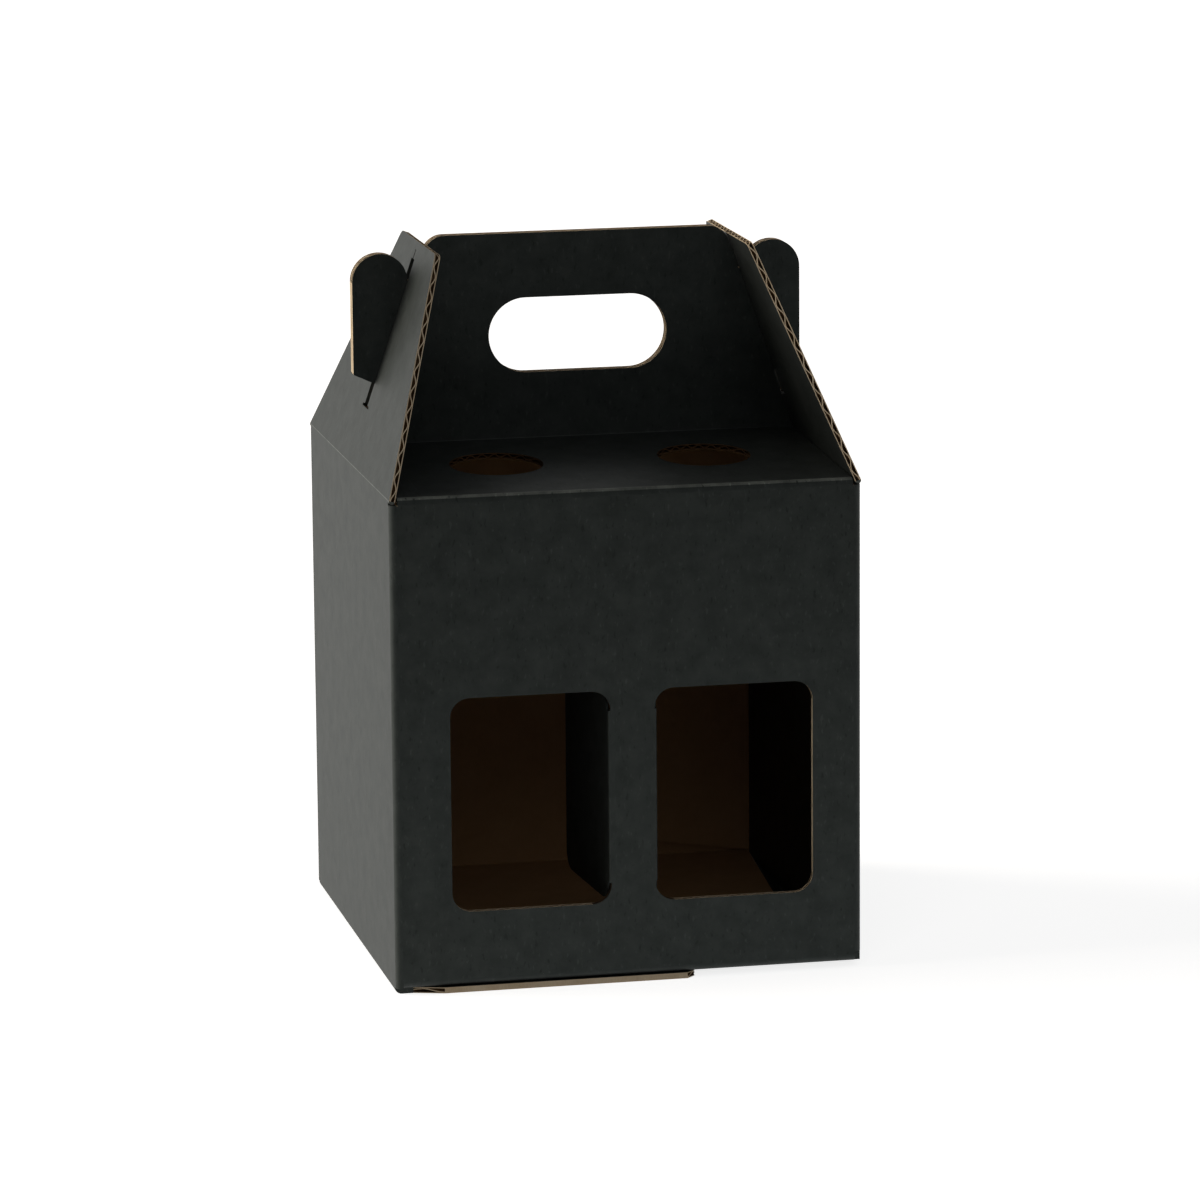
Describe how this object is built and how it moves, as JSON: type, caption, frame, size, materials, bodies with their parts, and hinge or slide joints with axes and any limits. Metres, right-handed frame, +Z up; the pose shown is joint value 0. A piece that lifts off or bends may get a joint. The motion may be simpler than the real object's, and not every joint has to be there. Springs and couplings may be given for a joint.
{
  "type": "four-pack bottle carrier",
  "caption": "Folded corrugated-board bottle carrier with windowed front, neck holes in the deck, a double carry handle and slotted gables held by ears.",
  "frame": {"origin": "centre of the base, on the surface that the carrier stands on", "axes": "+Z up, -Y towards the front with the windows, +X to the right as seen from the front"},
  "size_m": [0.134, 0.134, 0.2046],
  "materials": {
    "printed_board": "matt black print on kraft corrugated board, bare kraft at the cut edges and inside"
  },
  "bodies": {
    "carrier": {"carrier": "printed_board"},
    "left_gable": {"left_gable": "printed_board"},
    "right_gable": {"right_gable": "printed_board"}
  },
  "joints": [
    {"name": "left_gable_fold", "type": "hinge", "parent": "carrier", "child": "left_gable", "pos_m": [-0.06615, 0, 0.14045], "axis": [0, -1, 0], "range_deg": [0, 110]},
    {"name": "right_gable_fold", "type": "hinge", "parent": "carrier", "child": "right_gable", "pos_m": [0.06615, 0, 0.14045], "axis": [0, 1, 0], "range_deg": [0, 110]}
  ]
}
